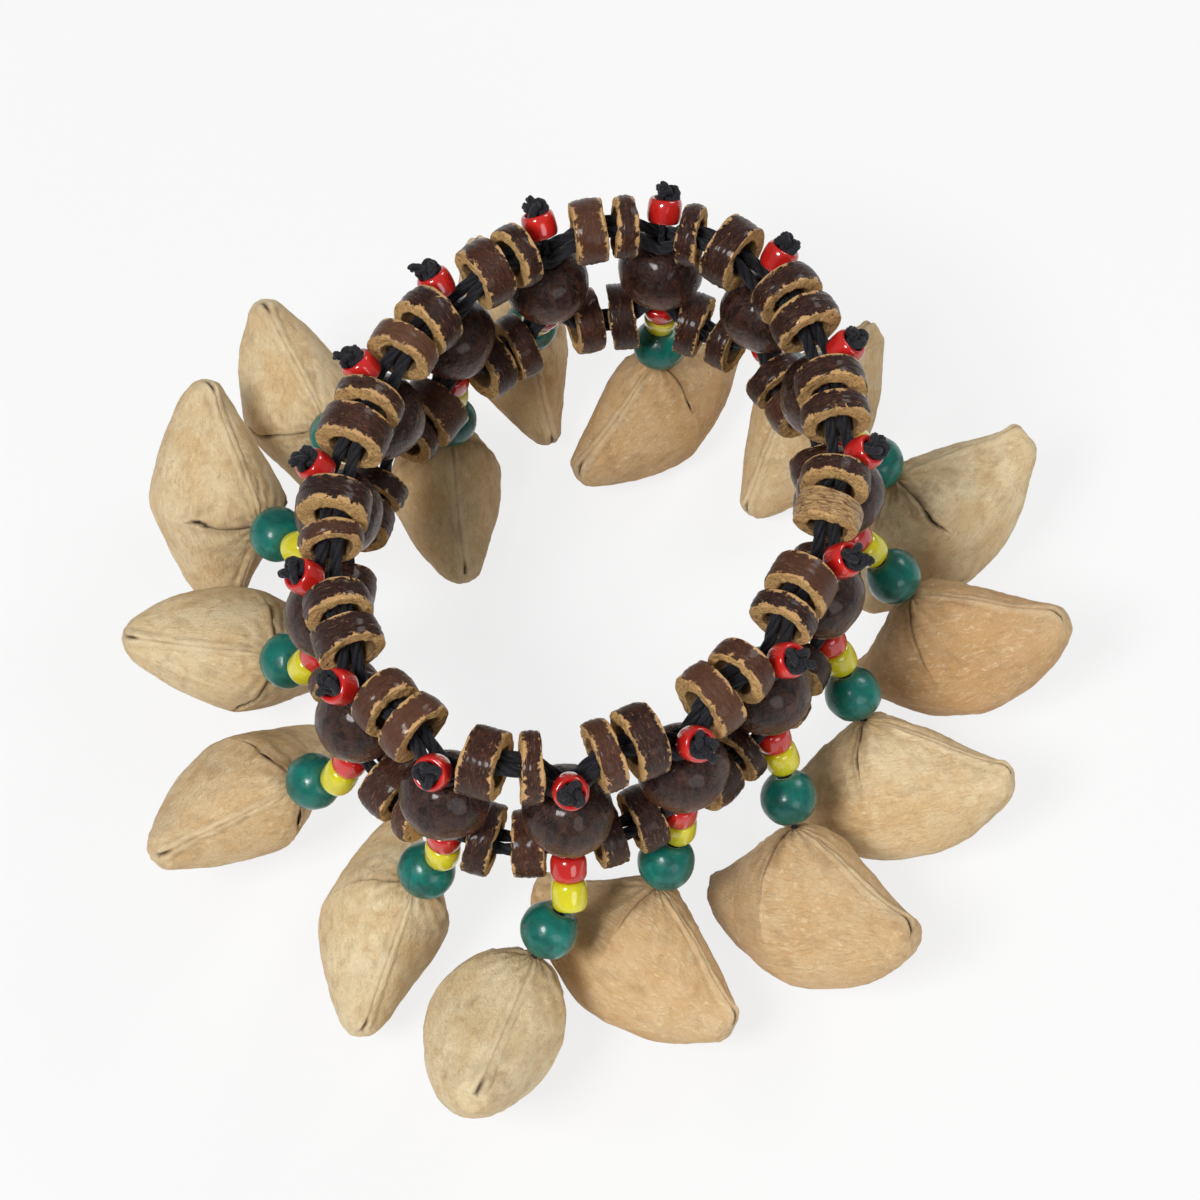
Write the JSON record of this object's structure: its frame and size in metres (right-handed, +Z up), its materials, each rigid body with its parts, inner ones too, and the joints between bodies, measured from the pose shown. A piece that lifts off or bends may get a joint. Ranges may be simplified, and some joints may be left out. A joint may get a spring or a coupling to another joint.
{
  "type": "nutshell shaker bracelet",
  "caption": "Percussion bracelet: an oval band of coconut shell rings and wooden beads on cord, hung with hollow nutshells on beaded drops that swing and rattle together.",
  "frame": {"origin": "middle of the wrist opening, level with the wooden bead centres", "axes": "+Z up through the wrist opening, away from the nutshells; the picture looks along +Y and down"},
  "size_m": [0.1362, 0.1477, 0.063],
  "materials": {
    "cord": "waxed",
    "coconut_shell": "satin",
    "brown_wood": "satin",
    "red_glass": "gloss",
    "yellow_glass": "gloss",
    "green_wood": "gloss paint",
    "nutshell": "matt"
  },
  "bodies": {
    "band": {"upper_cord": "cord", "lower_cord": "cord", "upper_rings": "coconut_shell", "lower_rings": "coconut_shell", "wood_beads": "brown_wood", "top_beads": "red_glass", "top_knots": "cord", "station_cords": "cord", "collar_beads": "red_glass", "yellow_beads": "yellow_glass"},
    "drop_01": {"green_bead_01": "green_wood", "drop_cord_01": "cord", "nutshell_01": "nutshell"},
    "drop_02": {"green_bead_02": "green_wood", "drop_cord_02": "cord", "nutshell_02": "nutshell"},
    "drop_03": {"green_bead_03": "green_wood", "drop_cord_03": "cord", "nutshell_03": "nutshell"},
    "drop_04": {"green_bead_04": "green_wood", "drop_cord_04": "cord", "nutshell_04": "nutshell"},
    "drop_05": {"green_bead_05": "green_wood", "drop_cord_05": "cord", "nutshell_05": "nutshell"},
    "drop_06": {"green_bead_06": "green_wood", "drop_cord_06": "cord", "nutshell_06": "nutshell"},
    "drop_07": {"green_bead_07": "green_wood", "drop_cord_07": "cord", "nutshell_07": "nutshell"},
    "drop_08": {"green_bead_08": "green_wood", "drop_cord_08": "cord", "nutshell_08": "nutshell"},
    "drop_09": {"green_bead_09": "green_wood", "drop_cord_09": "cord", "nutshell_09": "nutshell"},
    "drop_10": {"green_bead_10": "green_wood", "drop_cord_10": "cord", "nutshell_10": "nutshell"},
    "drop_11": {"green_bead_11": "green_wood", "drop_cord_11": "cord", "nutshell_11": "nutshell"},
    "drop_12": {"green_bead_12": "green_wood", "drop_cord_12": "cord", "nutshell_12": "nutshell"},
    "drop_13": {"green_bead_13": "green_wood", "drop_cord_13": "cord", "nutshell_13": "nutshell"},
    "drop_14": {"green_bead_14": "green_wood", "drop_cord_14": "cord", "nutshell_14": "nutshell"},
    "drop_15": {"green_bead_15": "green_wood", "drop_cord_15": "cord", "nutshell_15": "nutshell"}
  },
  "joints": [
    {"name": "swing_01", "type": "hinge", "parent": "band", "child": "drop_01", "pos_m": [-0.00709, 0.0454, -0.01428], "axis": [0.9154, 0.4024, 0], "range_deg": [-8, 18]},
    {"name": "swing_02", "type": "hinge", "parent": "band", "child": "drop_02", "pos_m": [-0.01972, 0.03258, -0.01521], "axis": [0.695, 0.719, 0], "range_deg": [-8, 8]},
    {"name": "swing_03", "type": "hinge", "parent": "band", "child": "drop_03", "pos_m": [-0.03398, 0.02184, -0.01308], "axis": [0.4544, 0.8908, 0], "range_deg": [-7, 12]},
    {"name": "swing_04", "type": "hinge", "parent": "band", "child": "drop_04", "pos_m": [-0.04065, 0.00469, -0.01272], "axis": [0.1975, 0.9803, 0], "range_deg": [-8, 18]},
    {"name": "swing_05", "type": "hinge", "parent": "band", "child": "drop_05", "pos_m": [-0.03916, -0.0137, -0.01439], "axis": [-0.1034, 0.9946, 0], "range_deg": [-8, 18]},
    {"name": "swing_06", "type": "hinge", "parent": "band", "child": "drop_06", "pos_m": [-0.03391, -0.03119, -0.01451], "axis": [-0.4846, 0.8747, 0], "range_deg": [-8, 18]},
    {"name": "swing_07", "type": "hinge", "parent": "band", "child": "drop_07", "pos_m": [-0.01957, -0.04241, -0.01524], "axis": [-0.8858, 0.4641, 0], "range_deg": [-8, 18]},
    {"name": "swing_08", "type": "hinge", "parent": "band", "child": "drop_08", "pos_m": [-0.00225, -0.04994, -0.0134], "axis": [-0.9877, -0.1563, 0], "range_deg": [-7, 18]},
    {"name": "swing_09", "type": "hinge", "parent": "band", "child": "drop_09", "pos_m": [0.01273, -0.0386, -0.01529], "axis": [-0.8108, -0.5853, 0], "range_deg": [-8, 18]},
    {"name": "swing_10", "type": "hinge", "parent": "band", "child": "drop_10", "pos_m": [0.02696, -0.02807, -0.0146], "axis": [-0.5758, -0.8176, 0], "range_deg": [-8, 18]},
    {"name": "swing_11", "type": "hinge", "parent": "band", "child": "drop_11", "pos_m": [0.0354, -0.01238, -0.01447], "axis": [-0.3293, -0.9442, 0], "range_deg": [-8, 18]},
    {"name": "swing_12", "type": "hinge", "parent": "band", "child": "drop_12", "pos_m": [0.0402, 0.00508, -0.01377], "axis": [-0.0549, -0.9985, 0], "range_deg": [-8, 18]},
    {"name": "swing_13", "type": "hinge", "parent": "band", "child": "drop_13", "pos_m": [0.03858, 0.02338, -0.01365], "axis": [0.2826, -0.9592, 0], "range_deg": [-8, 18]},
    {"name": "swing_14", "type": "hinge", "parent": "band", "child": "drop_14", "pos_m": [0.02774, 0.03882, -0.01465], "axis": [0.6986, -0.7155, 0], "range_deg": [-8, 18]},
    {"name": "swing_15", "type": "hinge", "parent": "band", "child": "drop_15", "pos_m": [0.01109, 0.04609, -0.01503], "axis": [0.9888, -0.1492, 0], "range_deg": [-8, 18]}
  ]
}
